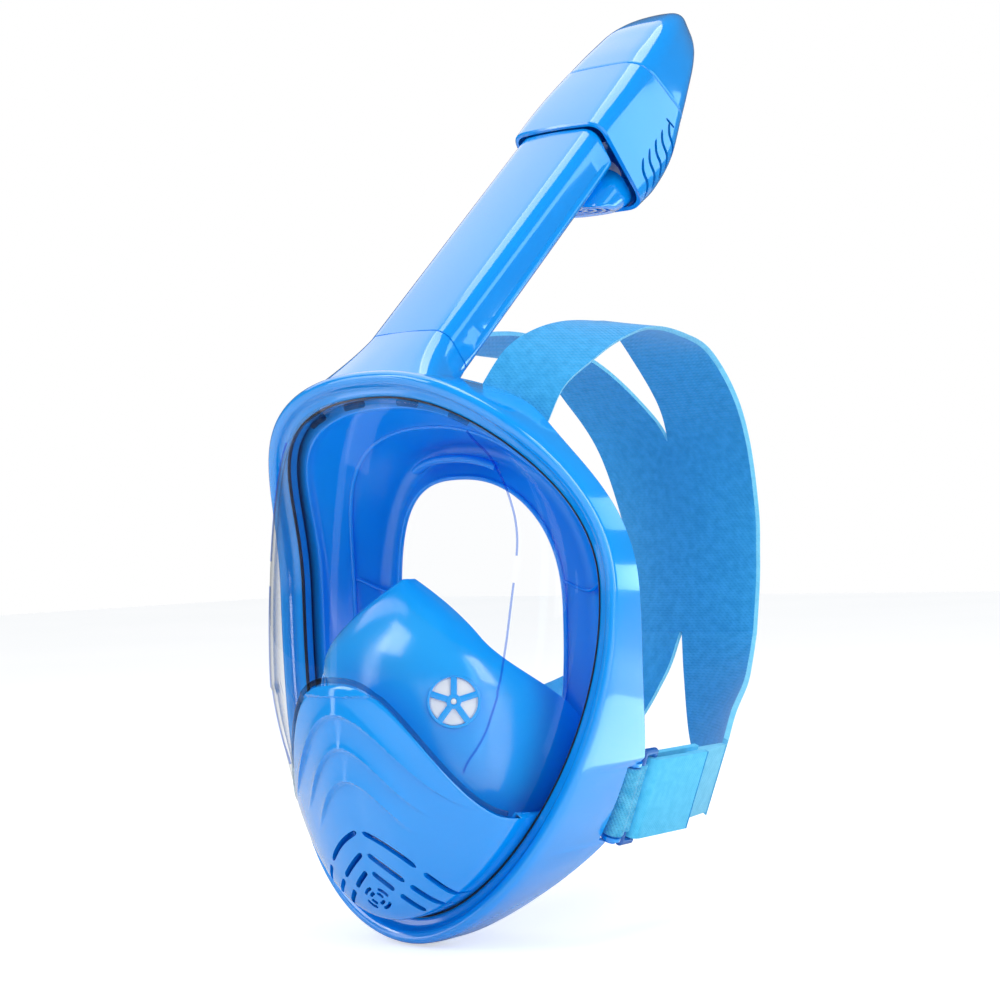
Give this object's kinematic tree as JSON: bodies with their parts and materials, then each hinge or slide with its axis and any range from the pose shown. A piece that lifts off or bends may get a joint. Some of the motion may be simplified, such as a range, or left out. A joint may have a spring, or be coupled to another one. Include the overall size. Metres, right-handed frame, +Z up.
{
  "type": "full-face snorkel mask",
  "caption": "Full-face snorkelling mask with a domed clear lens, vented chin cover, leaning dry snorkel with a float valve, silicone face skirt and a four-arm elastic head strap",
  "frame": {"origin": "middle of the face opening, level with the wearer's nose bridge", "axes": "front of the mask faces -Y, +Y runs back towards the head, +X is the wearer's left, +Z up"},
  "size_m": [0.1936, 0.2842, 0.4411],
  "materials": {
    "gloss_shell": "glossy moulded",
    "clear_lens": "clear polished",
    "silicone": "satin",
    "white_plastic": "satin",
    "valve_silicone": "satin",
    "seal_rubber": "matt",
    "elastic_band": "fine knitted",
    "woven_tab": "woven",
    "ring_plastic": "glossy moulded"
  },
  "bodies": {
    "mask": {"visor_lens": "clear_lens", "chin_cover": "gloss_shell", "front_frame": "gloss_shell", "rear_frame": "gloss_shell", "face_skirt": "silicone", "oral_nasal_mask": "silicone", "inhale_seat_left": "gloss_shell", "inhale_seat_right": "gloss_shell", "purge_seat": "gloss_shell", "snorkel_neck": "gloss_shell", "head_strap": "elastic_band", "upper_bar_left": "gloss_shell", "upper_bar_right": "gloss_shell", "loop_bar_left": "gloss_shell", "loop_bar_right": "gloss_shell", "lower_strap_left": "elastic_band", "lower_strap_right": "elastic_band"},
    "snorkel": {"snorkel_tube": "gloss_shell", "tube_gasket": "seal_rubber", "head_housing": "gloss_shell", "head_cap": "gloss_shell", "chamber_grille": "gloss_shell", "float_seat": "gloss_shell"},
    "float": {"float_block": "white_plastic", "float_seal": "seal_rubber"},
    "latch": {"tube_latch": "gloss_shell"},
    "inhale_left": {"inhale_flap_left": "valve_silicone"},
    "inhale_right": {"inhale_flap_right": "valve_silicone"},
    "purge": {"purge_disc": "valve_silicone"},
    "buckle_left": {"webbing_loop_left": "woven_tab", "strap_ring_left": "ring_plastic", "strap_fold_left": "woven_tab"},
    "buckle_right": {"webbing_loop_right": "woven_tab", "strap_ring_right": "ring_plastic", "strap_fold_right": "woven_tab"}
  },
  "joints": [
    {"name": "snorkel_pull_off", "type": "slide", "parent": "mask", "child": "snorkel", "axis": [0, 0.7524, 0.6587], "range_m": [0, 0.035]},
    {"name": "float_rise", "type": "slide", "parent": "snorkel", "child": "float", "axis": [0, 0.7524, 0.6587], "range_m": [0, 0.008]},
    {"name": "latch_press", "type": "slide", "parent": "mask", "child": "latch", "axis": [0, -0.6587, 0.7524], "range_m": [0, 0.0012], "stiffness_N_per_m": 400},
    {"name": "inhale_flap_left_open", "type": "slide", "parent": "mask", "child": "inhale_left", "axis": [-0.6157, 0.788, 0], "range_m": [0, 0.0012], "stiffness_N_per_m": 20},
    {"name": "inhale_flap_right_open", "type": "slide", "parent": "mask", "child": "inhale_right", "axis": [0.6157, 0.788, 0], "range_m": [0, 0.0012], "stiffness_N_per_m": 20},
    {"name": "purge_open", "type": "slide", "parent": "mask", "child": "purge", "axis": [0, -0.866, -0.5], "range_m": [0, 0.0015], "stiffness_N_per_m": 20},
    {"name": "buckle_left_swing", "type": "hinge", "parent": "mask", "child": "buckle_left", "pos_m": [0.0726, 0.001, -0.0615], "axis": [-0.3584, 0, -0.9336], "range_deg": [0, 18]},
    {"name": "buckle_right_swing", "type": "hinge", "parent": "mask", "child": "buckle_right", "pos_m": [-0.0726, 0.001, -0.0615], "axis": [-0.3584, 0, 0.9336], "range_deg": [0, 18]}
  ]
}
